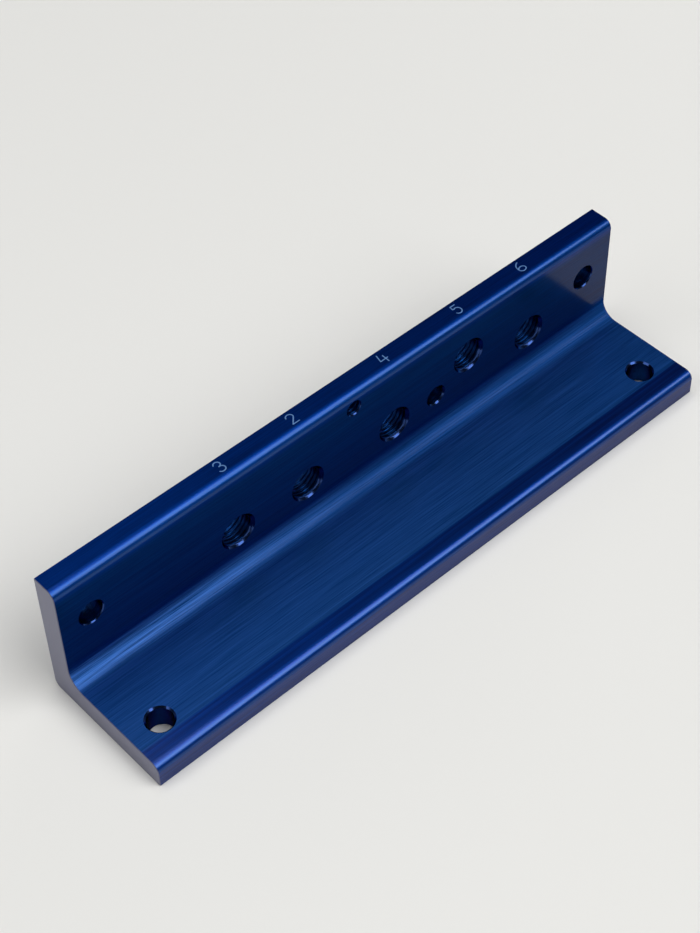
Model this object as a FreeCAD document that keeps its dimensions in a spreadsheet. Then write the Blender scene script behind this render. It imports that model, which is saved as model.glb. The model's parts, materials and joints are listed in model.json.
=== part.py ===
"""Port bracket: one length of aluminium angle, cut, drilled and tapped.

The stock is an extruded equal angle with a rounded root, rounded inner toes and a slightly
eased heel.  It lies with one leg flat (the base) and the other upright at the back.
The upright carries a row of five pipe ports, a small tapped hole, a plain pin hole and a
clearance hole near each end; the base carries one clearance hole near each end.

Frame: millimetres, X along the bracket, the open side towards -Y, +Z up.
The origin is the centre of the footprint, on the underside of the base.
"""
import FreeCAD, Part
import math
import os
import Sketcher

# ---------------------------------------------------------------- driving sizes, in millimetres

SIZES = {
    # the angle stock
    "length": 230.0,              # end to end
    "base_leg": 50.0,             # width of the base over the outside
    "upright_leg": 50.0,          # height of the upright over the outside
    "wall": 9.0,                  # thickness of both legs
    "root_radius": 6.0,           # inside corner between the legs
    "toe_radius": 3.0,            # inner edge of each leg's free end
    "heel_radius": 2.5,           # outside corner between the legs
    "edge_break": 0.2,            # chamfer round both sawn ends and along the two square toes
    # clearance holes for mounting screws, one near each end of each leg
    "mount_bore": 8.6,
    "mount_left_inset": 11.25,    # left end to the hole's centre
    "mount_right_inset": 12.35,   # right end to the hole's centre
    "base_gauge": 37.1,           # back face to the holes in the base
    "base_mount_chamfer": 0.55,
    "upright_gauge": 32.9,        # underside to the holes in the upright
    "upright_mount_chamfer": 0.3,
    # pipe ports through the upright: tap drill, and the chamfer that opens it to the thread's
    # major diameter
    "port_bore": 11.1,
    "port_chamfer": 1.0,
    "port_height": 24.5,          # underside to the centre line of the row
    # stations are measured from the middle; a port is named by the number that it carries
    "port_3_station": -48.8,
    "port_2_station": -20.6,
    "port_4_station": 16.2,
    "port_5_station": 49.0,       # this port stands level with the mounting holes
    "port_6_station": 77.2,
    # small tapped hole near the top edge: tap drill and chamfer
    "screw_bore": 5.2,
    "screw_chamfer": 0.4,
    "screw_station": -0.8,
    "screw_drop": 6.05,           # top edge to the hole's centre
    # plain hole for a locating pin, on the row's centre line
    "pin_bore": 7.0,
    "pin_chamfer": 0.48,
    "pin_station": 34.5,
    # every hole is also deburred where the drill leaves, on the outside of the angle
    "exit_chamfer": 0.5,
}

COUNTERSINK_ANGLE = 90.0          # so a chamfer is as deep as it is wide
NEAR = 1e-4                       # two places closer than this are the same place


# ---------------------------------------------------------------- document, sheet and sketches

def make_sheet(doc):
    """Put every driving size in its own named cell."""
    sheet = doc.addObject("Spreadsheet::Sheet", "Sizes")
    for row, (name, value) in enumerate(SIZES.items(), start=1):
        sheet.set("A%d" % row, name)
        sheet.set("B%d" % row, str(value))
        sheet.setAlias("B%d" % row, name)
    doc.recompute()
    return sheet


def bind(item, target, formula):
    """Tie one property or datum of an object to the sheet."""
    item.setExpression(target, formula)


def add_sketch(body, name, role, offset):
    """A sketch on one of the body's own origin planes; offset gives the formulas that move it."""
    plane = next(f for f in body.Origin.OriginFeatures if f.Role == role)
    sketch = body.newObject("Sketcher::SketchObject", name)
    sketch.AttachmentSupport = [(plane, "")]
    sketch.MapMode = "FlatFace"
    for axis, formula in zip("xyz", offset):
        if formula:
            bind(sketch, ".AttachmentOffset.Base.%s" % axis, formula)
    return sketch


def add_datum(sketch, formula, *constraint):
    """A dimension on the sketch whose value is a formula of the sheet."""
    index = sketch.addConstraint(Sketcher.Constraint(*constraint))
    bind(sketch, "Constraints[%d]" % index, formula)


# ---------------------------------------------------------------- the angle stock

def draw_section(sketch):
    """The section, from the corner of the base's square toe: six straights and four arcs."""
    size = SIZES
    leg, top, wall = size["base_leg"], size["upright_leg"], size["wall"]
    inner, root, toe, heel = leg - wall, size["root_radius"], size["toe_radius"], size["heel_radius"]

    def line(u1, v1, u2, v2):
        ends = FreeCAD.Vector(u1, v1, 0), FreeCAD.Vector(u2, v2, 0)
        return sketch.addGeometry(Part.LineSegment(*ends), False)

    def arc(u, v, radius, start):
        """A quarter turn, counter-clockwise from the start angle in degrees."""
        circle = Part.Circle(FreeCAD.Vector(u, v, 0), FreeCAD.Vector(0, 0, 1), radius)
        begin = math.radians(start)
        return sketch.addGeometry(Part.ArcOfCircle(circle, begin, begin + math.pi / 2), False)

    bottom = line(0, 0, leg - heel, 0)
    back = line(leg, heel, leg, top)
    crest = line(leg, top, inner + toe, top)
    face = line(inner, top - toe, inner, wall + root)
    deck = line(inner - root, wall, toe, wall)
    nose = line(0, wall - toe, 0, 0)
    heel_arc = arc(leg - heel, heel, heel, -90)
    crest_arc = arc(inner + toe, top - toe, toe, 90)
    root_arc = arc(inner - root, wall + root, root, -90)
    nose_arc = arc(toe, wall - toe, toe, 90)

    start, end, centre, origin = 1, 2, 3, -1
    for flat in (bottom, crest, deck):
        sketch.addConstraint(Sketcher.Constraint("Horizontal", flat))
    for plumb in (back, face, nose):
        sketch.addConstraint(Sketcher.Constraint("Vertical", plumb))
    for first, second in ((back, crest), (nose, bottom)):
        sketch.addConstraint(Sketcher.Constraint("Coincident", first, end, second, start))
    # each arc runs on smoothly from one straight to the next
    for first, round_edge, second in ((bottom, heel_arc, back), (crest, crest_arc, face),
                                      (deck, nose_arc, nose)):
        sketch.addConstraint(Sketcher.Constraint("Tangent", first, end, round_edge, start))
        sketch.addConstraint(Sketcher.Constraint("Tangent", round_edge, end, second, start))
    sketch.addConstraint(Sketcher.Constraint("Tangent", face, end, root_arc, end))
    sketch.addConstraint(Sketcher.Constraint("Tangent", root_arc, start, deck, start))
    sketch.addConstraint(Sketcher.Constraint("Equal", crest_arc, nose_arc))
    sketch.addConstraint(Sketcher.Constraint("Coincident", bottom, start, origin, start))

    add_datum(sketch, "Sizes.heel_radius", "Radius", heel_arc, heel)
    add_datum(sketch, "Sizes.root_radius", "Radius", root_arc, root)
    add_datum(sketch, "Sizes.toe_radius", "Radius", nose_arc, toe)
    add_datum(sketch, "Sizes.base_leg", "DistanceX", origin, start, back, end, leg)
    add_datum(sketch, "Sizes.upright_leg", "DistanceY", origin, start, back, end, top)
    add_datum(sketch, "Sizes.wall", "DistanceX", face, start, back, end, wall)
    add_datum(sketch, "Sizes.wall", "DistanceY", origin, start, deck, end, wall)


def add_stock(body):
    """Extrude the section to both sides of the middle."""
    sketch = add_sketch(body, "Section", "YZ_Plane", ("-Sizes.base_leg / 2", None, None))
    draw_section(sketch)
    pad = body.newObject("PartDesign::Pad", "Angle")
    pad.Profile = sketch
    pad.SideType = "Symmetric"
    bind(pad, "Length", "Sizes.length")
    return pad


def is_square_edge(edge):
    """True for the outlines of both ends and for the two long edges that have no round."""
    box = edge.BoundBox
    half_length, half_base = SIZES["length"] / 2, SIZES["base_leg"] / 2
    if box.XLength < NEAR:
        return abs(abs(box.XMin) - half_length) < NEAR
    on_back_top = box.YMin > half_base - NEAR and box.ZMin > SIZES["upright_leg"] - NEAR
    on_front_bottom = box.YMax < NEAR - half_base and box.ZMax < NEAR
    return on_back_top or on_front_bottom


def chamfer_edges(body, name, wanted, formula):
    """Chamfer those edges of the body's present shape that the test picks."""
    base = body.Tip
    edges = ["Edge%d" % n for n, edge in enumerate(base.Shape.Edges, start=1) if wanted(edge)]
    chamfer = body.newObject("PartDesign::Chamfer", name)
    chamfer.Base = (base, edges)
    bind(chamfer, "Size", formula)
    return chamfer


# ---------------------------------------------------------------- holes

# Each leg's sketch plane is its face on the open side.  Along the bracket both start in the
# middle; across it the upright's starts at the underside and the base's at the back face.
ON_UPRIGHT = ("XZ_Plane", (None, None, "Sizes.wall - Sizes.base_leg / 2"))
ON_BASE = ("XY_Plane", (None, "Sizes.base_leg / 2", "Sizes.wall"))

LEFT_MOUNT = "Sizes.mount_left_inset - Sizes.length / 2"
RIGHT_MOUNT = "Sizes.length / 2 - Sizes.mount_right_inset"


def add_holes(body, name, leg, bore, chamfer, centres):
    """Drill straight through a leg at each centre and chamfer the mouth on the open side."""
    role, offset = leg
    sketch = add_sketch(body, name + "Centres", role, offset)
    up = FreeCAD.Vector(0, 0, 1)
    for number, (across, height) in enumerate(centres, start=1):
        # the drawn place only seeds the solver; the formulas below set it
        seed = FreeCAD.Vector(number, number, 0)
        circle = sketch.addGeometry(Part.Circle(seed, up, 1.0), False)
        add_datum(sketch, across, "DistanceX", -1, 1, circle, 3, seed.x)
        add_datum(sketch, height, "DistanceY", -1, 1, circle, 3, seed.y)
        add_datum(sketch, bore, "Diameter", circle, 2.0)
    body.Document.recompute()

    hole = body.newObject("PartDesign::Hole", name)
    hole.Profile = sketch
    body.Document.recompute()
    hole.DepthType = "ThroughAll"
    hole.ThreadType = "None"
    hole.HoleCutType = "Countersink"
    hole.HoleCutCustomValues = True
    hole.HoleCutCountersinkAngle = COUNTERSINK_ANGLE
    bind(hole, "Diameter", bore)
    bind(hole, "HoleCutDiameter", "%s + 2 * %s" % (bore, chamfer))
    body.Document.recompute()
    return hole


def add_ports(body):
    """Five tapped ports in a row; the one at station 5 is raised to the mounting holes."""
    row = "Sizes.port_height"
    centres = [("Sizes.port_3_station", row), ("Sizes.port_2_station", row),
               ("Sizes.port_4_station", row), ("Sizes.port_5_station", "Sizes.upright_gauge"),
               ("Sizes.port_6_station", row)]
    add_holes(body, "Ports", ON_UPRIGHT, "Sizes.port_bore", "Sizes.port_chamfer", centres)


def add_small_holes(body):
    """The small tapped hole near the top edge and the plain pin hole between two ports."""
    add_holes(body, "ScrewHole", ON_UPRIGHT, "Sizes.screw_bore", "Sizes.screw_chamfer",
              [("Sizes.screw_station", "Sizes.upright_leg - Sizes.screw_drop")])
    add_holes(body, "PinHole", ON_UPRIGHT, "Sizes.pin_bore", "Sizes.pin_chamfer",
              [("Sizes.pin_station", "Sizes.port_height")])


def add_mounting_holes(body):
    """A clearance hole near each end of each leg."""
    for name, leg, chamfer, height in (
            ("UprightMounts", ON_UPRIGHT, "Sizes.upright_mount_chamfer", "Sizes.upright_gauge"),
            ("BaseMounts", ON_BASE, "Sizes.base_mount_chamfer", "-Sizes.base_gauge")):
        centres = [(LEFT_MOUNT, height), (RIGHT_MOUNT, height)]
        add_holes(body, name, leg, "Sizes.mount_bore", chamfer, centres)


def is_exit_rim(edge):
    """True for the circles where holes come out on the back face or on the underside."""
    if not isinstance(edge.Curve, Part.Circle) or not edge.isClosed():
        return False
    centre = edge.Curve.Center
    return abs(centre.y - SIZES["base_leg"] / 2) < NEAR or abs(centre.z) < NEAR


# ---------------------------------------------------------------- checks and output

def expected_hole_volume():
    """What the drills alone take out, worked out by hand from the sizes."""
    drilled = ((5, "port_bore"), (1, "screw_bore"), (1, "pin_bore"), (4, "mount_bore"))
    return sum(n * math.pi / 4 * SIZES[bore] ** 2 * SIZES["wall"] for n, bore in drilled)


def check(doc, body, stock_volume):
    """Stop unless every feature worked, the solid is sound and every hole really cuts."""
    for item in doc.Objects:
        if "Invalid" in item.State or "Error" in item.State:
            raise RuntimeError("%s did not build: %s" % (item.Label, item.State))
        if item.isDerivedFrom("Sketcher::SketchObject") and not item.FullyConstrained:
            raise RuntimeError("%s is not fully constrained" % item.Label)
    shape = body.Shape
    if shape.isNull() or not shape.isValid() or len(shape.Solids) != 1:
        raise RuntimeError("%s is not one sound solid" % body.Label)
    removed = stock_volume - shape.Volume
    if removed < expected_hole_volume():
        raise RuntimeError("a hole does not go through: %.0f mm3 removed" % removed)
    print("%s: %.1f x %.1f x %.1f mm, %.0f mm3, holes take %.0f mm3" % (
        body.Label, shape.BoundBox.XLength, shape.BoundBox.YLength, shape.BoundBox.ZLength,
        shape.Volume, removed))


def make_bracket(doc):
    """The whole bracket as one body: stock, eased edges, holes, deburred exits."""
    body = doc.addObject("PartDesign::Body", "PortBracket")
    body.Label = "port_bracket"
    add_stock(body)
    doc.recompute()
    chamfer_edges(body, "EdgeBreaks", is_square_edge, "Sizes.edge_break")
    doc.recompute()
    stock_volume = body.Shape.Volume
    add_mounting_holes(body)
    add_ports(body)
    add_small_holes(body)
    chamfer_edges(body, "ExitChamfers", is_exit_rim, "Sizes.exit_chamfer")
    body.Placement = FreeCAD.Placement()
    doc.recompute()
    check(doc, body, stock_volume)
    return body


def main():
    doc = FreeCAD.newDocument("PortBracket")
    make_sheet(doc)
    body = make_bracket(doc)
    os.makedirs("parts", exist_ok=True)
    body.Shape.exportStep("parts/%s.step" % body.Label)


main()
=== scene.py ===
"""Port bracket: a length of blue anodised aluminium angle with tapped ports.

The whole bracket is one mesh.  Its skin is worked out from the section of the angle, the holes'
places come from the record's mounts, and the threads, chamfers and engraved numerals are real
surfaces.  Lengths are in metres in the CAD frame: X along the bracket, the open side towards -Y,
Z up, the origin under the middle of the base.
"""
import json
import math

import bpy
import numpy as np
from mathutils import Matrix, Vector
from mathutils.geometry import delaunay_2d_cdt


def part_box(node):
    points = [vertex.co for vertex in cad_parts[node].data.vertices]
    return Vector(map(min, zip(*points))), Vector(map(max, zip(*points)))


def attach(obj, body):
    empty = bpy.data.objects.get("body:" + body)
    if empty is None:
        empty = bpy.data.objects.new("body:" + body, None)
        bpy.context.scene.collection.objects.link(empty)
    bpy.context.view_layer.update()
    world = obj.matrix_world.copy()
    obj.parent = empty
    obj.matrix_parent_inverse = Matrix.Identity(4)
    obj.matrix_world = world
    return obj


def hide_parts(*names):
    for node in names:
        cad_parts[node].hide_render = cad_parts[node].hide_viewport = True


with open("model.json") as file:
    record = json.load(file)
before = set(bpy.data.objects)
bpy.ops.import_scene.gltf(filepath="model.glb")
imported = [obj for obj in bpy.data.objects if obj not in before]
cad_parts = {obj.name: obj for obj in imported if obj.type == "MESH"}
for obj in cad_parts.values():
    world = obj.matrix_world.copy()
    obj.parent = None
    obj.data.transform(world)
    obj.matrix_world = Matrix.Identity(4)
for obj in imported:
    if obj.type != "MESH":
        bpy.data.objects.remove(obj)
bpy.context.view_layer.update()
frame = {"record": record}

MM = 0.001
NODE = "port_bracket"

# ---------------------------------------------------------------- sizes

low, high = (np.array(corner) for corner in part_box(NODE))
HALF_LENGTH = high[0]
BACK, FRONT, TOP = high[1], low[1], high[2]

# the section of the angle, beyond what the node's box gives
WALL = 9.0 * MM
ROOT_RADIUS = 6.0 * MM
TOE_RADIUS = 3.0 * MM
HEEL_RADIUS = 2.5 * MM
EDGE_BREAK = 0.2 * MM
OPEN_FACE = BACK - WALL               # the upright's face on the open side

# chamfers at the holes' mouths and where the drill leaves
PORT_CHAMFER = 1.0 * MM
SCREW_CHAMFER = 0.4 * MM
PIN_CHAMFER = 0.48 * MM
BASE_CHAMFER = 0.55 * MM
UPRIGHT_CHAMFER = 0.3 * MM
EXIT_CHAMFER = 0.5 * MM

# threads: pitch, the groove's outer radius at the mouth, and how much it narrows per length
PORT_THREAD = dict(pitch=25.4 * MM / 18, major=6.25 * MM, taper=1 / 32)
SCREW_THREAD = dict(pitch=25.4 * MM / 20, major=3.0 * MM, taper=0.0)
THREAD_FLANK = math.radians(30)       # each flank to the thread's own cross-section

ARC_STEPS = 20                        # points on a quarter turn of the section
RIM_STEPS = 96                        # points round every hole
THREAD_ROWS = 110                     # rows of points through the wall in a tapped hole


# ---------------------------------------------------------------- patches of surface

class Patch:
    """Points with their own normals, faces that index them, and the finish they wear."""

    def __init__(self, points, normals, faces, finish):
        self.points = np.asarray(points, float).reshape(-1, 3)
        self.normals = np.asarray(normals, float).reshape(-1, 3)
        self.faces = faces
        self.finish = finish


def grid_faces(rows, columns, closed=False):
    """Four-sided faces of a grid of points, walking down the rows first; closed joins the last
    column to the first."""
    across = np.arange(columns if closed else columns - 1)
    i, j = np.meshgrid(np.arange(rows - 1), across, indexing="ij")
    k = (j + 1) % columns
    corners = [i * columns + j, (i + 1) * columns + j, (i + 1) * columns + k, i * columns + k]
    return np.stack(corners, -1).reshape(-1, 4).tolist()


def arc(centre, radius, start, end, steps=ARC_STEPS, outward=1):
    """Points and normals of an arc: the centre plus the radius times (cos, sin) of the angle."""
    angle = np.radians(np.linspace(start, end, steps + 1))
    ray = np.stack([np.cos(angle), np.sin(angle)], -1)
    return np.array(centre) + radius * ray, outward * ray


def straight(first, second):
    """Two points in the section with the normal to the right of the way from one to the other."""
    points = np.array([first, second], float)
    way = points[1] - points[0]
    normal = np.array([way[1], -way[0]]) / np.hypot(*way)
    return points, np.array([normal, normal])


def section():
    """The outline of the angle in (y, z), anticlockwise, as named runs of points and normals."""
    toe_y, root_y = OPEN_FACE + TOE_RADIUS, OPEN_FACE - ROOT_RADIUS
    runs = {
        "underside": straight((FRONT + EDGE_BREAK, 0), (BACK - HEEL_RADIUS, 0)),
        "heel": arc((BACK - HEEL_RADIUS, HEEL_RADIUS), HEEL_RADIUS, -90, 0),
        "back": straight((BACK, HEEL_RADIUS), (BACK, TOP - EDGE_BREAK)),
        "top_break": straight((BACK, TOP - EDGE_BREAK), (BACK - EDGE_BREAK, TOP)),
        "crest": straight((BACK - EDGE_BREAK, TOP), (toe_y, TOP)),
        "upper_toe": arc((toe_y, TOP - TOE_RADIUS), TOE_RADIUS, 90, 180),
        "face": straight((OPEN_FACE, TOP - TOE_RADIUS), (OPEN_FACE, WALL + ROOT_RADIUS)),
        "root": arc((root_y, WALL + ROOT_RADIUS), ROOT_RADIUS, 0, -90, outward=-1),
        "deck": straight((root_y, WALL), (FRONT + TOE_RADIUS, WALL)),
        "lower_toe": arc((FRONT + TOE_RADIUS, WALL - TOE_RADIUS), TOE_RADIUS, 90, 180),
        "nose": straight((FRONT, WALL - TOE_RADIUS), (FRONT, EDGE_BREAK)),
        "bottom_break": straight((FRONT, EDGE_BREAK), (FRONT + EDGE_BREAK, 0)),
    }
    return runs


def swept(run, finish):
    """A run of the section carried along X between the two end chamfers."""
    points, normals = run
    ends = np.array([-1, 1]) * (HALF_LENGTH - EDGE_BREAK)
    x = np.broadcast_to(ends, (len(points), 2))
    yz = np.repeat(points[:, None], 2, axis=1)
    grid = np.concatenate([x[..., None], yz], -1)
    aim = np.concatenate([np.zeros((len(points), 2, 1)), np.repeat(normals[:, None], 2, 1)], -1)
    return Patch(grid, aim, grid_faces(len(points), 2), finish)


def triangulated(outline, loops):
    """A constrained triangulation of an outline and the closed loops drawn on it: its points, its
    triangles, and for each triangle whether it lies inside any of the loops."""
    rings = [np.asarray(outline)] + [np.asarray(loop) for loop in loops]
    turn = [np.sum(r[:, 0] * np.roll(r[:, 1], -1) - np.roll(r[:, 0], -1) * r[:, 1]) for r in rings]
    rings = [r if t > 0 else r[::-1] for r, t in zip(rings, turn)]
    starts = np.cumsum([0] + [len(r) for r in rings])
    spots = [Vector(p) for p in np.concatenate(rings).tolist()]
    indices = [list(range(a, b)) for a, b in zip(starts[:-1], starts[1:])]
    found = delaunay_2d_cdt(spots, [], indices, 1, 1e-9)
    points = np.array([tuple(p) for p in found[0]], float)
    # a given point comes back in single precision, so it gets its own place again
    given = [(n, origins[0]) for n, origins in enumerate(found[3]) if origins]
    there, source = np.array(given).T
    points[there] = np.concatenate(rings)[source]
    return points, np.array(found[2]), np.array([len(owners) > 1 for owners in found[5]])


def filled(outline, holes, place, normal, finish):
    """A flat face with round holes: the triangles of its outline that lie in no hole.  place turns
    its own two coordinates into points in space."""
    points, faces, inside = triangulated(outline, holes)
    spread = place(points)
    aim = np.broadcast_to(normal, spread.shape)
    return Patch(spread, aim, facing(spread, faces[~inside], normal), finish)


def crossways(across):
    """The four corners, anticlockwise, of a flat face between two levels across the bracket."""
    x = HALF_LENGTH - EDGE_BREAK
    near, far = across
    return [(-x, near), (x, near), (x, far), (-x, far)]


def facing(points, faces, normal):
    """The same triangles, each turned so that its corners run anticlockwise about the normal."""
    tri = faces.copy()
    a, b, c = (points[tri[:, k]] for k in range(3))
    wrong = np.einsum("ij,j->i", np.cross(b - a, c - a), np.asarray(normal, float)) < 0
    tri[wrong] = tri[wrong][:, ::-1]
    return tri.tolist()


# ---------------------------------------------------------------- holes

class Leg:
    """One leg of the angle as the drill sees it: axes u and v across the face on the open side,
    the way in, and what turns a centre on that face into a point in space."""

    def __init__(self, u, v, way_in, origin):
        self.u, self.v, self.way_in = (np.array(a, float) for a in (u, v, way_in))
        self.origin = np.array(origin, float)

    def at(self, centre, depth=0.0):
        """The point under a centre, that deep in the leg."""
        return np.asarray(centre) * (1 - np.abs(self.way_in)) + self.origin + self.way_in * depth


UPRIGHT = Leg((0, 0, 1), (1, 0, 0), (0, 1, 0), (0, OPEN_FACE, 0))
BASE = Leg((0, 1, 0), (1, 0, 0), (0, 0, -1), (0, 0, WALL))


class Hole:
    """A hole straight through a leg, with a chamfer at each side and a thread if it has one."""

    def __init__(self, leg, centre, bore, chamfer, thread=None):
        self.leg, self.centre = leg, np.array(centre, float)
        self.bore, self.chamfer, self.thread = bore, chamfer, thread

    def rim(self, radius, axes):
        """The circle of that radius about the centre, in two of the three coordinates."""
        angle = np.linspace(0, 2 * np.pi, RIM_STEPS, endpoint=False)[:, None]
        points = self.centre + radius * (self.leg.u * np.cos(angle) + self.leg.v * np.sin(angle))
        return points[:, axes]

    def mouth(self, axes):
        return self.rim(self.bore + self.chamfer, axes)

    def outlet(self, axes):
        return self.rim(self.bore + EXIT_CHAMFER, axes)

    def radius(self, depth, angle):
        """The largest of four cutters at that depth: the drill, the cone at the mouth, the cone
        at the outlet, and the thread's groove.  The groove is a V about its helix: it falls from
        the major radius by the distance along the axis from the helix over the flank's tangent."""
        cone_in = self.bore + self.chamfer - depth
        cone_out = self.bore + EXIT_CHAMFER - (WALL - depth)
        widest = np.maximum(np.maximum(cone_in, cone_out), self.bore)
        if self.thread:
            pitch = self.thread["pitch"]
            turn = depth / pitch - angle / (2 * np.pi)
            off = np.abs(turn - np.round(turn)) * pitch
            crest = self.thread["major"] - self.thread["taper"] * depth
            widest = np.maximum(widest, crest - off / math.tan(THREAD_FLANK))
        return widest

    def walls(self):
        """The wall as a grid of depth by angle, in two patches: the chamfers and the bore.  A plain
        hole's grid repeats the depth at each crease, so each stretch has its own normals; a
        thread's come from the grid itself."""
        creases = np.array([0, self.chamfer, WALL - EXIT_CHAMFER, WALL])
        if self.thread:
            depth = np.linspace(0, WALL, THREAD_ROWS)
        else:
            depth = np.repeat(creases, [1, 2, 2, 1])
        angle = np.linspace(0, 2 * np.pi, RIM_STEPS, endpoint=False)
        s, a = np.meshgrid(depth, angle, indexing="ij")
        r = self.radius(s, a)
        ray = self.leg.u * np.cos(a)[..., None] + self.leg.v * np.sin(a)[..., None]
        start = self.leg.at(self.centre)
        points = start + self.leg.way_in * s[..., None] + ray * r[..., None]
        if self.thread:
            normals = self.thread_normals(points)
        else:
            # a cone that opens towards a face leans its normals that way
            lean = np.repeat([-1, 0, 1], 2)[:, None, None]
            normals = lean * self.leg.way_in - ray
            normals /= np.linalg.norm(normals, axis=-1, keepdims=True)
        faces = np.array(grid_faces(*s.shape, closed=True))
        middle = (s[:-1] + s[1:]).reshape(-1) / 2
        bored = (middle > self.chamfer) & (middle < WALL - EXIT_CHAMFER)
        real = (s[1:] > s[:-1]).reshape(-1)
        return [Patch(points, normals, faces[real & bored].tolist(), "bore"),
                Patch(points, normals, faces[real & ~bored].tolist(), "chamfer")]

    @staticmethod
    def thread_normals(points):
        """The cross product of the steps along the depth and round the hole."""
        down = np.gradient(points, axis=0)
        around = np.roll(points, -1, axis=1) - np.roll(points, 1, axis=1)
        normals = np.cross(down, around)
        return normals / np.linalg.norm(normals, axis=-1, keepdims=True)


def drilled_holes():
    """Every hole of the bracket, placed and sized by the record's mounts."""
    mounts = {m["name"]: m for m in frame["record"]["mounts"]}
    holes = []
    for name, mount in mounts.items():
        if mount["kind"] in ("threaded_hole", "bore"):
            chamfer, thread = {
                "screw_hole": (SCREW_CHAMFER, SCREW_THREAD),
                "pin_hole": (PIN_CHAMFER, None),
            }.get(name, (PORT_CHAMFER, PORT_THREAD))
            holes.append(Hole(UPRIGHT, mount["pos_m"], mount["dims"]["r_mm"] * MM, chamfer, thread))
    for name, leg, chamfer in (("base_screws", BASE, BASE_CHAMFER),
                               ("upright_screws", UPRIGHT, UPRIGHT_CHAMFER)):
        mount = mounts[name]
        reach = mount["dims"]["spacing_x_mm"] / 2 * MM
        for side in (-1, 1):
            centre = np.array(mount["pos_m"]) + (side * reach, 0, 0)
            holes.append(Hole(leg, centre, mount["dims"]["hole_r_mm"] * MM, chamfer))
    return holes


# ---------------------------------------------------------------- engraved numerals

NUMERAL_DEPTH = 0.12 * MM
STROKE = 0.42 * MM                    # width of the engraver's cut
CAP_STEPS = 8                         # points on each round end of a stroke
NUMERAL_FOOT = BACK - 5.7 * MM        # where the numerals stand on the crest


def bend(x, y, width, height, start, end, steps=10):
    """Points on an elliptical arc of a stroke, in millimetres."""
    angle = np.radians(np.linspace(start, end, steps + 1))
    return [(x + width * math.cos(a), y + height * math.sin(a)) for a in angle]


# Each numeral is a few single strokes, in millimetres from the middle of its foot.
NUMERALS = {
    "port_3": (-0.85, [bend(-0.1, 3.3, 1.15, 1.05, 165, -90) + bend(0.1, 1.15, 1.3, 1.15, 95, -150)]),
    "port_2": (-0.65, [bend(-0.1, 3.05, 1.25, 1.15, 170, -25) + [(-1.15, 0.1), (1.35, 0.1)]]),
    "port_4": (0.1, [[(-0.8, 4.2), (-1.45, 1.4), (1.5, 1.5)], [(0.75, 3.0), (0.75, 0.0)]]),
    "port_5": (-0.55, [[(0.8, 4.1), (-1.05, 4.1), (-1.2, 2.75)]
                       + bend(-0.1, 1.45, 1.3, 1.4, 125, -150)]),
    "port_6": (0.0, [bend(1.3, 1.6, 2.7, 2.7, 105, 175) + bend(0.0, 1.1, 1.35, 1.05, 180, -180, 18)]),
}


def capsule(first, second):
    """The outline of one straight cut of a round tool: two half circles about the ends."""
    first, second = np.array(first), np.array(second)
    heading = math.atan2(*(second - first)[::-1])
    sweep = np.linspace(-math.pi / 2, math.pi / 2, CAP_STEPS)
    ahead = second + STROKE / 2 * np.stack([np.cos(heading + sweep), np.sin(heading + sweep)], -1)
    behind = first - STROKE / 2 * np.stack([np.cos(heading + sweep), np.sin(heading + sweep)], -1)
    return np.concatenate([ahead, behind])


def numeral_cuts(holes_by_name):
    """Every straight cut of every numeral, in (x, y) on the crest."""
    cuts = []
    for name, (shift, strokes) in NUMERALS.items():
        foot = np.array([holes_by_name[name] + shift * MM, NUMERAL_FOOT])
        for stroke in strokes:
            points = foot + np.array(stroke) * MM
            cuts += [capsule(a, b) for a, b in zip(points[:-1], points[1:])]
    return cuts


def engraved_crest(crest, finish, mark_finish):
    """The top edge with the numerals cut into it: the triangles inside a cut go down by its depth,
    and a strip of wall stands on each edge between the two levels."""
    (y_back, z), (y_toe, _) = crest[0]
    outline = crossways((y_toe, y_back))
    mounts = {m["name"]: m["pos_m"][0] for m in frame["record"]["mounts"]}
    points, faces, cut = triangulated(outline, numeral_cuts(mounts))
    upper = np.column_stack([points, np.full(len(points), z)])
    lower = upper - (0, 0, NUMERAL_DEPTH)
    up = (0, 0, 1)
    surface = Patch(upper, np.broadcast_to(up, upper.shape),
                    facing(upper, faces[~cut], up), finish)
    floor_faces = facing(lower, faces[cut], up)
    floor = Patch(lower, np.broadcast_to(up, lower.shape), floor_faces, mark_finish)
    edges = {(f[k], f[(k + 1) % 3]) for f in floor_faces for k in range(3)}
    rims = np.array(sorted(e for e in edges if e[::-1] not in edges))
    corners = np.stack([upper[rims[:, 1]], upper[rims[:, 0]], lower[rims[:, 0]], lower[rims[:, 1]]], 1)
    along = upper[rims[:, 1]] - upper[rims[:, 0]]
    side = np.cross(np.array(up, float), along)
    side /= np.linalg.norm(side, axis=1, keepdims=True)
    wall = Patch(corners, np.repeat(side, 4, axis=0),
                 np.arange(len(rims) * 4).reshape(-1, 4)[:, ::-1].tolist(), mark_finish)
    return [surface, floor, wall]


# ---------------------------------------------------------------- ends

def closed_outline(runs):
    """The whole outline as one ring of points, each with its mitre: the vector by which the ring
    moves in when every side moves in by one."""
    points = np.concatenate([p[:-1] for p, _ in runs.values()])
    after = np.concatenate([n[:-1] for _, n in runs.values()])
    before = np.concatenate([np.concatenate([last[-1:], n[1:-1]]) for last, n in zip(
        [n for _, n in list(runs.values())[-1:] + list(runs.values())[:-1]],
        [n for _, n in runs.values()])])
    mitre = (before + after) / (1 + np.einsum("ij,ij->i", before, after))[:, None]
    return points, mitre, before, after


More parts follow.
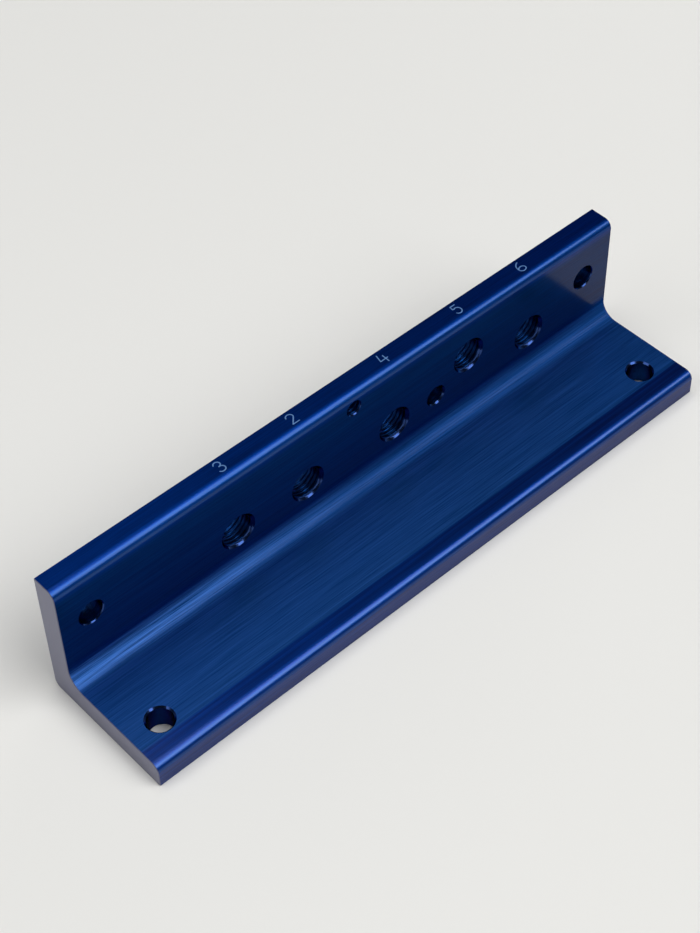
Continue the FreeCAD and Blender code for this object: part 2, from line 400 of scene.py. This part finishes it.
def end_patches(runs, side):
    """One sawn end: a narrow chamfer all round it and the flat face inside that."""
    points, mitre, before, after = closed_outline(runs)
    inner = points - mitre * EDGE_BREAK
    outer_x, inner_x = side * (HALF_LENGTH - EDGE_BREAK), side * HALF_LENGTH
    nxt = np.roll(np.arange(len(points)), -1)
    ring = np.column_stack([np.full(len(points), outer_x), points])
    lip = np.column_stack([np.full(len(points), inner_x), inner])
    quads = np.stack([ring, ring[nxt], lip[nxt], lip], 1)
    lean = np.stack([after, before[nxt], before[nxt], after], 1)
    normals = np.concatenate([np.full(lean.shape[:2] + (1,), float(side)), lean], -1) / math.sqrt(2)
    order = [0, 1, 2, 3] if side > 0 else [3, 2, 1, 0]
    faces = np.arange(len(points) * 4).reshape(-1, 4)[:, order].tolist()
    band = Patch(quads, normals, faces, "end")

    def place(flat):
        return np.column_stack([np.full(len(flat), inner_x), flat])
    cap = filled(inner, [], place, (side, 0, 0), "end")
    return [band, cap]


# ---------------------------------------------------------------- the bracket's mesh

def flat_patch(run, leg, axis, holes, rim_name, finish):
    """A long flat face of the section with the holes of one leg in it.  axis is the coordinate
    that changes across the face, 1 for y or 2 for z."""
    points, normals = run
    across = sorted(points[:, axis - 1])
    level = points[0][2 - axis]
    outline = crossways(across)
    rims = [getattr(h, rim_name)([0, axis]) for h in holes if h.leg is leg]

    def place(flat):
        return np.insert(flat, 3 - axis, level, axis=1)
    return filled(outline, rims, place, (0, *normals[0]), finish)


def bracket_patches():
    runs = section()
    holes = drilled_holes()
    patches = [swept(runs[name], "skin") for name in (
        "heel", "top_break", "upper_toe", "root", "lower_toe", "nose", "bottom_break")]
    patches.append(flat_patch(runs["underside"], BASE, 1, holes, "outlet", "skin"))
    patches.append(flat_patch(runs["deck"], BASE, 1, holes, "mouth", "skin"))
    patches.append(flat_patch(runs["back"], UPRIGHT, 2, holes, "outlet", "skin"))
    patches.append(flat_patch(runs["face"], UPRIGHT, 2, holes, "mouth", "skin"))
    patches += engraved_crest(runs["crest"], "skin", "mark")
    patches += [patch for hole in holes for patch in hole.walls()]
    patches += end_patches(runs, -1) + end_patches(runs, 1)
    return patches


def weld(patches, grain=1e-7):
    """Join patches into one set of points: those in the same place, to the grain, become one.  A
    face that this leaves with fewer than three corners is dropped."""
    points = np.concatenate([p.points for p in patches])
    _, first, same = np.unique(np.round(points / grain).astype(np.int64), axis=0,
                               return_index=True, return_inverse=True)
    offsets = np.cumsum([0] + [len(p.points) for p in patches[:-1]])
    same = same.reshape(-1)
    corners, faces, finishes = [], [], []
    for patch, offset in zip(patches, offsets):
        for face in patch.faces:
            kept = {int(same[offset + v]): offset + v for v in face}
            if len(kept) > 2:
                faces.append(list(kept))
                corners += kept.values()
                finishes.append(patch.finish)
    normals = np.concatenate([p.normals for p in patches])[corners]
    # points that no face uses are left out
    used, renumbered = np.unique(np.concatenate(faces), return_inverse=True)
    ends = np.cumsum([len(face) for face in faces])[:-1]
    faces = [part.tolist() for part in np.split(renumbered.reshape(-1), ends)]
    return points[first][used], faces, normals, finishes


def make_bracket(materials):
    """The bracket as one closed mesh that keeps each patch's own normals."""
    points, faces, normals, finishes = weld(bracket_patches())
    mesh = bpy.data.meshes.new("bracket")
    mesh.from_pydata(points.tolist(), [], faces)
    names = list(materials)
    for material in materials.values():
        mesh.materials.append(material)
    mesh.polygons.foreach_set("material_index", [names.index(f) for f in finishes])
    mesh.polygons.foreach_set("use_smooth", [True] * len(faces))
    mesh.update()
    mesh.normals_split_custom_set(normals.tolist())
    piece = bpy.data.objects.new("bracket", mesh)
    bpy.context.scene.collection.objects.link(piece)
    return piece


# ---------------------------------------------------------------- materials

class Value:
    """One output of a material's node, so that sums on it add their Math nodes."""

    def __init__(self, tree, socket):
        self.tree, self.socket = tree, socket

    def math(self, operation, *others):
        return self.tree.node("Math", {"operation": operation}, *others).output()

    def __add__(self, other):
        return self.math("ADD", self, other)

    def __radd__(self, other):
        return self.math("ADD", other, self)

    def __sub__(self, other):
        return self.math("SUBTRACT", self, other)

    def __rsub__(self, other):
        return self.math("SUBTRACT", other, self)

    def __mul__(self, other):
        return self.math("MULTIPLY", self, other)

    def __rmul__(self, other):
        return self.math("MULTIPLY", other, self)

    def __truediv__(self, other):
        return self.math("DIVIDE", self, other)

    def clipped(self):
        """The same value held between 0 and 1."""
        return self.math("MAXIMUM", self.math("MINIMUM", self, 1.0), 0.0)

    def past(self, level, blend):
        """0 below a level and 1 above it, with a straight blend of that length in between."""
        return ((self - level) / blend + 0.5).clipped()

    def ridge(self, level, reach):
        """1 at a level, falling straight to 0 at that reach on each side."""
        return (1.0 - self.math("ABSOLUTE", self - level) / reach).clipped()


class Node:
    """A node, and its outputs by name."""

    def __init__(self, tree, node):
        self.tree, self.raw = tree, node

    def output(self, name=0):
        return Value(self.tree, self.raw.outputs[name])


class Tree:
    """The nodes of a material or of the world, built from nothing."""

    def __init__(self, owner):
        owner.use_nodes = True
        self.nodes, self.links = owner.node_tree.nodes, owner.node_tree.links
        self.nodes.clear()

    def node(self, kind, settings, *values, **named):
        """Add a node: first its settings, then its sockets, each by place or by name."""
        node = self.nodes.new("ShaderNode" + kind)
        for key, setting in settings.items():
            setattr(node, key, setting)
        sockets = list(zip(range(len(values)), values))
        sockets += [(key.replace("_", " "), value) for key, value in named.items()]
        for key, value in sockets:
            if isinstance(value, Value):
                self.links.new(value.socket, node.inputs[key])
            else:
                node.inputs[key].default_value = value
        return Node(self, node)


class Finish(Tree):
    """A material that is built from nodes alone."""

    def __init__(self, name):
        self.material = bpy.data.materials.new(name)
        super().__init__(self.material)

    def along(self, axis):
        """One of the object coordinates, in metres."""
        spot = self.node("TexCoord", {}).output("Object")
        return self.node("SeparateXYZ", {}, spot).output(axis)

    def place(self, stretch=(1, 1, 1)):
        """Object coordinates, multiplied along each axis."""
        spot = self.node("TexCoord", {}).output("Object")
        return self.node("VectorMath", {"operation": "MULTIPLY"}, spot, stretch).output()

    def noise(self, stretch, scale, detail=2.0, roughness=0.5):
        """Cloudy noise about 0.5 that is drawn out where stretch is small."""
        return self.node("TexNoise", {"noise_dimensions": "3D"}, Vector=self.place(stretch),
                         Scale=scale, Detail=detail, Roughness=roughness).output("Fac")

    def between(self, factor, low_colour, high_colour):
        """A colour that runs from one to the other as the factor goes from 0 to 1."""
        mix = self.node("Mix", {"data_type": "RGBA"})
        inputs = mix.raw.inputs
        self.links.new(factor.socket, inputs["Factor"])
        for socket, colour in zip([i for i in inputs if i.type == "RGBA"], (low_colour, high_colour)):
            if isinstance(colour, Value):
                self.links.new(colour.socket, socket)
            else:
                socket.default_value = (*colour, 1.0)
        return Value(self, next(o for o in mix.raw.outputs if o.type == "RGBA"))

    def bump(self, height, strength, distance):
        return self.node("Bump", {}, Height=height, Strength=strength,
                         Distance=distance).output("Normal")

    def surface(self, **sockets):
        """The shader and the material's output; returns the finished material."""
        shader = self.node("BsdfPrincipled", {}, **sockets).output("BSDF")
        self.node("OutputMaterial", {}, Surface=shader)
        return self.material


# Linear colours of the dyed oxide over aluminium; some carry painted shade or a painted highlight, as
# marked
DEEP_BLUE = (0.001, 0.030, 0.145)
BRIGHT_BLUE = (0.004, 0.062, 0.275)
# painted shade: a deeper blue for the upright's open face
FACE_SHADE_DEEP = (0.0008, 0.028, 0.095)
FACE_SHADE_BRIGHT = (0.002, 0.054, 0.170)
RUBBED_DEEP = (0.002, 0.036, 0.155)
RUBBED_BRIGHT = (0.016, 0.080, 0.300)
# painted highlight: a paler blue mixed into the inside corner, strongest at the left end
CORNER_HIGHLIGHT_BLUE = (0.080, 0.265, 0.790)
# painted shade: the deepest blue, for the top edge, a band beside the lower toe and a line along each
# toe's round
EDGE_SHADE_DEEP = (0.0003, 0.020, 0.140)
EDGE_SHADE_BRIGHT = (0.001, 0.036, 0.250)
EDGE_TINT = (0.03, 0.12, 0.06)         # what the dye leaves of light that grazes the metal
END_DARK = (0.080, 0.083, 0.158)
END_PALE = (0.135, 0.140, 0.240)
CHAMFER_DEEP = (0.020, 0.045, 0.160)
CHAMFER_BRIGHT = (0.030, 0.065, 0.210)
# painted shade: a darker blue than the skin for the walls of the holes and threads
BORE_SHADE_DEEP = (0.001, 0.019, 0.090)
BORE_SHADE_BRIGHT = (0.003, 0.038, 0.180)
MARK_BLUE = (0.09, 0.20, 0.42)

# lines that the extrusion die left on the deck, in millimetres: place across it, half width,
# and how much paler or deeper they are
DIE_LINES = [
    (-16.0, 0.45, 0.40), (-17.5, 0.35, 0.16), (-18.4, 0.50, -0.42), (-19.2, 0.40, 0.22),
    (-20.4, 0.90, -0.50), (-13.2, 0.35, 0.15),
]

# Bounds of the skin's regions: each is a level along one axis and the length of the blend there
DECK_LEVEL = (WALL + 0.3 * MM, 0.4 * MM)
RUBBED_FRONT = (-17.4 * MM, 0.6 * MM)
RUBBED_BACK = (OPEN_FACE + 1.0 * MM, 0.5 * MM)
RUBBED_TOP = (WALL + ROOT_RADIUS + 1.0 * MM, 4.0 * MM)
BAND_FOOT = (WALL - 0.4 * MM, 0.3 * MM)
BAND_BACK = (-17.6 * MM, 0.6 * MM)
CREST_FOOT = (TOP - 0.4 * MM, 0.3 * MM)
UPPER_FOOT = (12.0 * MM, 4.0 * MM)
FACE_TOP = (46.0 * MM, 2.0 * MM)
CORNER_FRONT = (OPEN_FACE - ROOT_RADIUS, 2.0 * MM)
CORNER_TOP = (13.5 * MM, 2.5 * MM)
# bounds of the painted highlight in the inside corner
CORNER_HIGHLIGHT_FRONT = (12.2 * MM, 1.8 * MM)
CORNER_HIGHLIGHT_MIDDLE = (-80.0 * MM, 160.0 * MM)      # halfway in the fade from left to right
# painted shade: deep lines along the toes' rounds, under their highlights; the level and the half
# width, and what bounds them behind
LOWER_LINE, LOWER_LINE_BACK = (7.7 * MM, 0.7 * MM), (-23.0 * MM, 0.5 * MM)
UPPER_LINE, UPPER_LINE_BACK = (48.6 * MM, 0.6 * MM), (18.5 * MM, 0.5 * MM)


def brushed_skin():
    """Extruded and brushed skin: fine lines along X that vary in shade, roughness and height.  The
    deck and the inside corner are brushed more roughly than the rest, and a little paler.  The inside
    corner also carries a painted highlight, palest towards the left end.  Painted shade makes the
    top edge, a band beside the lower toe and a line along each toe's round the deepest blue, and the
    upright's open face a deeper blue than the rest."""
    finish = Finish("blue_anodise_brushed")
    x, y, z = finish.along("X"), finish.along("Y"), finish.along("Z")
    fine = finish.noise((0.016, 1, 1), 2100.0, detail=3.0, roughness=0.7)
    broad = finish.noise((0.006, 1, 1), 420.0, detail=2.0)
    low = 1.0 - z.past(*DECK_LEVEL)
    inner = y.past(*RUBBED_FRONT) * (1.0 - y.past(*RUBBED_BACK))
    rubbed = inner * (1.0 - z.past(*RUBBED_TOP))
    # painted shade: a band of deepest blue on the deck beside the lower toe
    band = low * z.past(*BAND_FOOT) * (1.0 - y.past(*BAND_BACK))
    # painted shade: a dark line along each toe's round, under its highlight
    toe_shade_line = (z.ridge(*LOWER_LINE) * (1.0 - y.past(*LOWER_LINE_BACK))
                + z.ridge(*UPPER_LINE) * (1.0 - y.past(*UPPER_LINE_BACK)) * 0.6)
    # painted shade: the band, the top edge and the toe lines take the deepest blue
    edge_shade = (band + z.past(*CREST_FOOT) + toe_shade_line).clipped()
    upper = z.past(*UPPER_FOOT)
    # painted shade: the upright's open face is made a deeper blue than the rest
    face = upper * inner * (1.0 - z.past(*FACE_TOP))
    corner = inner * y.past(*CORNER_FRONT) * (1.0 - z.past(*CORNER_TOP))
    # painted highlight in the inside corner, fading from the left end towards the right
    corner_highlight = corner * y.past(*CORNER_HIGHLIGHT_FRONT) * (1.0 - x.past(*CORNER_HIGHLIGHT_MIDDLE))
    die_marks = 0.0
    for level, reach, strength in DIE_LINES:
        die_marks = y.ridge(level * MM, reach * MM) * strength + die_marks
    lines = fine * 0.9 + broad * 0.1
    contrast = corner * 0.8 + 2.6
    # corner * 0.05 is a painted highlight that makes the inside corner a little paler
    shade = ((lines - 0.5) * contrast + corner * 0.05 + 0.5 + die_marks * low).clipped()
    plain = finish.between(face, finish.between(shade, DEEP_BLUE, BRIGHT_BLUE),
                           finish.between(shade, FACE_SHADE_DEEP, FACE_SHADE_BRIGHT))
    brushed = finish.between(shade, RUBBED_DEEP, RUBBED_BRIGHT)
    rubbed_with_highlight = finish.between(corner_highlight * shade, brushed, CORNER_HIGHLIGHT_BLUE)
    deep = finish.between(shade, EDGE_SHADE_DEEP, EDGE_SHADE_BRIGHT)
    return finish.surface(
        Base_Color=finish.between(edge_shade, finish.between(rubbed, plain, rubbed_with_highlight), deep),
        Metallic=1.0,
        Roughness=lines * 0.16 + rubbed * 0.14 + corner * 0.13 + 0.30,
        Normal=finish.bump(fine, 0.8, 0.00004),
        Specular_Tint=(*EDGE_TINT, 1.0),
        Coat_Weight=(0.62 - rubbed * 0.55 - upper * 0.24 - edge_shade * 0.3 - toe_shade_line * 0.2).clipped(),
        Coat_Roughness=0.15,
    )


def sawn_end():
    """The cut ends: paler and duller, with faint straight marks across the section."""
    finish = Finish("blue_anodise_end")
    marks = finish.noise((1, 1, 0.05), 1800.0, detail=2.0)
    return finish.surface(
        Base_Color=finish.between(marks, END_DARK, END_PALE),
        Metallic=0.6,
        Roughness=marks * 0.1 + 0.42,
        Normal=finish.bump(marks, 0.15, 0.00003),
        Coat_Weight=0.6,
        Coat_Roughness=0.3,
    )


def turned_chamfer():
    """Chamfers at the holes: cleanly cut, so glossier than the skin."""
    finish = Finish("blue_anodise_chamfer")
    chatter = finish.noise((1, 1, 1), 1500.0, detail=2.0)
    return finish.surface(
        Base_Color=finish.between(chatter, CHAMFER_DEEP, CHAMFER_BRIGHT),
        Metallic=1.0,
        Roughness=chatter * 0.04 + 0.13,
        Specular_Tint=(*EDGE_TINT, 1.0),
        Coat_Weight=0.02,
        Coat_Roughness=0.08,
    )


def drilled_bore():
    """The walls of the holes and threads: a satin black-blue, darker than the skin as painted shade in
    the holes.
    The drill left fine rings round the holes of the upright, whose axes lie along Y."""
    finish = Finish("blue_anodise_bore")
    chatter = finish.noise((1, 1, 1), 700.0, detail=1.0)
    rings = finish.noise((0.03, 1, 0.03), 2500.0) * finish.along("Y").past(OPEN_FACE, 1.0 * MM)
    return finish.surface(
        Base_Color=finish.between(chatter, BORE_SHADE_DEEP, BORE_SHADE_BRIGHT),
        Metallic=1.0,
        Roughness=chatter * 0.06 + 0.26,
        Normal=finish.bump(rings, 0.8, 0.0003),
        Specular_Tint=(*EDGE_TINT, 1.0),
        Coat_Weight=0.06,
        Coat_Roughness=0.3,
    )


def engraved_mark():
    """The floor of the numerals, cut through the dye."""
    finish = Finish("blue_anodise_mark")
    grain = finish.noise((1, 1, 1), 4000.0)
    return finish.surface(
        Base_Color=finish.between(grain, MARK_BLUE, tuple(c * 1.3 for c in MARK_BLUE)),
        Metallic=0.3,
        Roughness=0.6,
    )


# ---------------------------------------------------------------- floor, light and camera

FLOOR_COLOUR = (0.76, 0.755, 0.73)
FLOOR_REACH = 4.0                     # from the bracket to each edge of the floor
LAMP_DISTANCE = 4.0                   # from the bracket to every lamp
LAMP_AIM = Vector((0, 0, 0.02))       # what the lamps point at, in the bracket
HORIZON = (0.175, 0.21)               # height of a direction where the walls fade, and the blend


def make_floor():
    reach = FLOOR_REACH
    corners = [(-reach, -reach, 0), (reach, -reach, 0), (reach, reach, 0), (-reach, reach, 0)]
    mesh = bpy.data.meshes.new("floor")
    mesh.from_pydata(corners, [], [(0, 1, 2, 3)])
    floor = bpy.data.objects.new("floor", mesh)
    bpy.context.scene.collection.objects.link(floor)
    finish = Finish("pale_floor")
    mesh.materials.append(finish.surface(Base_Color=(*FLOOR_COLOUR, 1.0), Roughness=0.55))


def make_lamp(name, azimuth, elevation, size, radiance, roll=0.0):
    """A flat soft white lamp, seen from the bracket at that compass angle from +Y and that height,
    and rolled about the line to it.  Its power is pi times its area times its radiance."""
    turn, rise = math.radians(azimuth), math.radians(elevation)
    way = Vector((math.sin(turn) * math.cos(rise), math.cos(turn) * math.cos(rise), math.sin(rise)))
    lamp = bpy.data.lights.new(name, "AREA")
    lamp.shape, lamp.size, lamp.size_y = "RECTANGLE", size[0], size[1]
    lamp.energy = math.pi * size[0] * size[1] * radiance
    holder = bpy.data.objects.new(name, lamp)
    holder.visible_camera = False
    holder.location = LAMP_AIM + way * LAMP_DISTANCE
    holder.rotation_euler = (way.to_track_quat("Z", "Y").to_matrix()
                             @ Matrix.Rotation(math.radians(roll), 3, "Z")).to_euler()
    bpy.context.scene.collection.objects.link(holder)


def make_world(colour, room, walls):
    """A dim room whose walls are paler near the horizon: the strength falls from that of the walls
    to that of the room as a direction's height goes from 4 to 16 degrees."""
    world = bpy.data.worlds.new("room")
    tree = Tree(world)
    way = tree.node("TexCoord", {}).output("Generated")
    height = tree.node("SeparateXYZ", {}, way).output("Z")
    strength = (1.0 - height.past(*HORIZON)) * (walls - room) + room
    light = tree.node("Background", {}, Color=(*colour, 1.0), Strength=strength)
    tree.node("OutputWorld", {}, Surface=light.output("Background"))
    bpy.context.scene.world = world


def make_camera():
    """A camera that looks down across the open side from beyond the left end."""
    azimuth, elevation, roll = math.radians(41.293), math.radians(47.828), math.radians(-1.584)
    distance, focus = 0.6202, Vector((-6.65, 12.01, 25.0)) * MM
    ahead = Vector((math.sin(azimuth) * math.cos(elevation),
                    math.cos(azimuth) * math.cos(elevation), -math.sin(elevation)))
    right = ahead.cross(Vector((0, 0, 1))).normalized()
    up = right.cross(ahead)
    turned = Matrix((right, up, -ahead)).transposed() @ Matrix.Rotation(roll, 3, "Z")
    data = bpy.data.cameras.new("camera")
    data.lens, data.sensor_width = 76.82, 36.0
    camera = bpy.data.objects.new("camera", data)
    camera.matrix_world = Matrix.Translation(focus - ahead * distance) @ turned.to_4x4()
    bpy.context.scene.collection.objects.link(camera)
    bpy.context.scene.camera = camera


# ---------------------------------------------------------------- the scene

bracket = make_bracket({"skin": brushed_skin(), "end": sawn_end(), "chamfer": turned_chamfer(),
                        "bore": drilled_bore(), "mark": engraved_mark()})
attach(bracket, "root")
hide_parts(NODE)

make_floor()
make_world((0.95, 0.97, 1.0), room=0.06, walls=0.35)
make_lamp("window", 155, 52, (3.4, 3.3), 3.9, roll=17.0)
make_lamp("doorway", 60, 13, (1.7, 0.9), 3.5)
make_lamp("fill", 285, 42, (3.0, 2.4), 1.8)
make_lamp("overhead", 355, 77, (2.6, 2.6), 2.4)
make_camera()
bpy.context.scene.view_settings.view_transform = "Standard"
